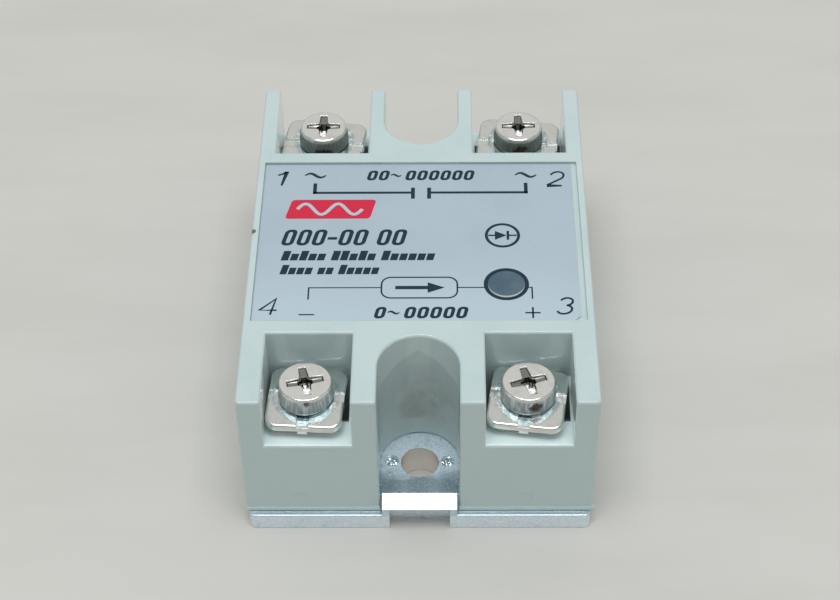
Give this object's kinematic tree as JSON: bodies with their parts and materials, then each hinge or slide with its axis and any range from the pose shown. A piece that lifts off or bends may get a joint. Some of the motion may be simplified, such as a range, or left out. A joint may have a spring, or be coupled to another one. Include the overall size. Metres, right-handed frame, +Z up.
{
  "type": "solid state relay",
  "caption": "Panel-mount solid state relay: moulded housing with a status window and screw terminals, on a metal base plate that bolts to a heatsink.",
  "frame": {"origin": "centre of the base plate's underside", "axes": "+Z up out of the label, +Y towards the output terminals, -Y towards the input terminals"},
  "size_m": [0.0454, 0.0624, 0.0233],
  "materials": {
    "housing_plastic": "moulded light grey-green, satin gloss",
    "zinc_plate": "bright zinc plated, faint spangle",
    "sealant": "dull adhesive bead",
    "label_foil": "silver-blue polyester film, satin",
    "smoked_lens": "smoked clear plastic",
    "led_epoxy": "tinted clear epoxy",
    "nickel": "bright nickel plated",
    "tinned_strap": "nickel plated, dull",
    "steel_nut": "plain plated steel",
    "board_laminate": "green solder mask over glass fibre",
    "solder": "tin solder",
    "tinned_lead": "tinned copper",
    "black_epoxy": "moulded black epoxy",
    "alumina": "white ceramic wafer",
    "potting": "poured grey-black resin",
    "resistor_coat": "coated ceramic, light blue",
    "film_case": "yellow capacitor case",
    "varistor_coat": "dipped blue coating"
  },
  "bodies": {
    "relay_body": {"base_plate": "zinc_plate", "sealant_bead": "sealant", "housing": "housing_plastic", "face_label": "label_foil", "indicator_window": "smoked_lens", "status_led": "led_epoxy", "circuit_board": "board_laminate", "solder_joints": "solder", "ceramic_wafer": "alumina", "triac_leadframe": "tinned_lead", "triac_body": "black_epoxy", "potting_resin": "potting", "optocoupler": "black_epoxy", "optocoupler_pins": "tinned_lead", "input_resistor": "resistor_coat", "bias_resistor": "resistor_coat", "gate_resistor": "resistor_coat", "snubber_resistor": "resistor_coat", "reverse_diode": "black_epoxy", "drive_transistor": "black_epoxy", "snubber_capacitor": "film_case", "varistor": "varistor_coat", "terminal_plate_1": "tinned_strap", "terminal_nut_1": "steel_nut", "terminal_plate_2": "tinned_strap", "terminal_nut_2": "steel_nut", "terminal_plate_3": "tinned_strap", "terminal_nut_3": "steel_nut", "terminal_plate_4": "tinned_strap", "terminal_nut_4": "steel_nut"},
    "clamp_1": {"clamp_plate_1": "nickel"},
    "screw_1": {"terminal_screw_1": "nickel"},
    "clamp_2": {"clamp_plate_2": "nickel"},
    "screw_2": {"terminal_screw_2": "nickel"},
    "clamp_3": {"clamp_plate_3": "nickel"},
    "screw_3": {"terminal_screw_3": "nickel"},
    "clamp_4": {"clamp_plate_4": "nickel"},
    "screw_4": {"terminal_screw_4": "nickel"}
  },
  "joints": [
    {"name": "clamp_1_lift", "type": "slide", "parent": "relay_body", "child": "clamp_1", "axis": [0, 0, 1], "range_m": [0, 0.0028]},
    {"name": "screw_1_turn", "type": "hinge", "parent": "clamp_1", "child": "screw_1", "pos_m": [-0.01405, 0.025, 0.0182], "axis": [0, 0, 1], "range_deg": [0, 1440]},
    {"name": "clamp_2_lift", "type": "slide", "parent": "relay_body", "child": "clamp_2", "axis": [0, 0, 1], "range_m": [0, 0.0028]},
    {"name": "screw_2_turn", "type": "hinge", "parent": "clamp_2", "child": "screw_2", "pos_m": [0.0139, 0.025, 0.0182], "axis": [0, 0, 1], "range_deg": [0, 1440]},
    {"name": "clamp_3_lift", "type": "slide", "parent": "relay_body", "child": "clamp_3", "axis": [0, 0, 1], "range_m": [0, 0.0028]},
    {"name": "screw_3_turn", "type": "hinge", "parent": "clamp_3", "child": "screw_3", "pos_m": [0.0138, -0.02395, 0.0182], "axis": [0, 0, 1], "range_deg": [0, 1440]},
    {"name": "clamp_4_lift", "type": "slide", "parent": "relay_body", "child": "clamp_4", "axis": [0, 0, 1], "range_m": [0, 0.0028]},
    {"name": "screw_4_turn", "type": "hinge", "parent": "clamp_4", "child": "screw_4", "pos_m": [-0.01425, -0.02395, 0.0182], "axis": [0, 0, 1], "range_deg": [0, 1440]}
  ],
  "couplings": [
    {"joint": "screw_1_turn", "follows": "clamp_1_lift", "rad_per_m": 8976},
    {"joint": "screw_2_turn", "follows": "clamp_2_lift", "rad_per_m": 8976},
    {"joint": "screw_3_turn", "follows": "clamp_3_lift", "rad_per_m": 8976},
    {"joint": "screw_4_turn", "follows": "clamp_4_lift", "rad_per_m": 8976}
  ]
}
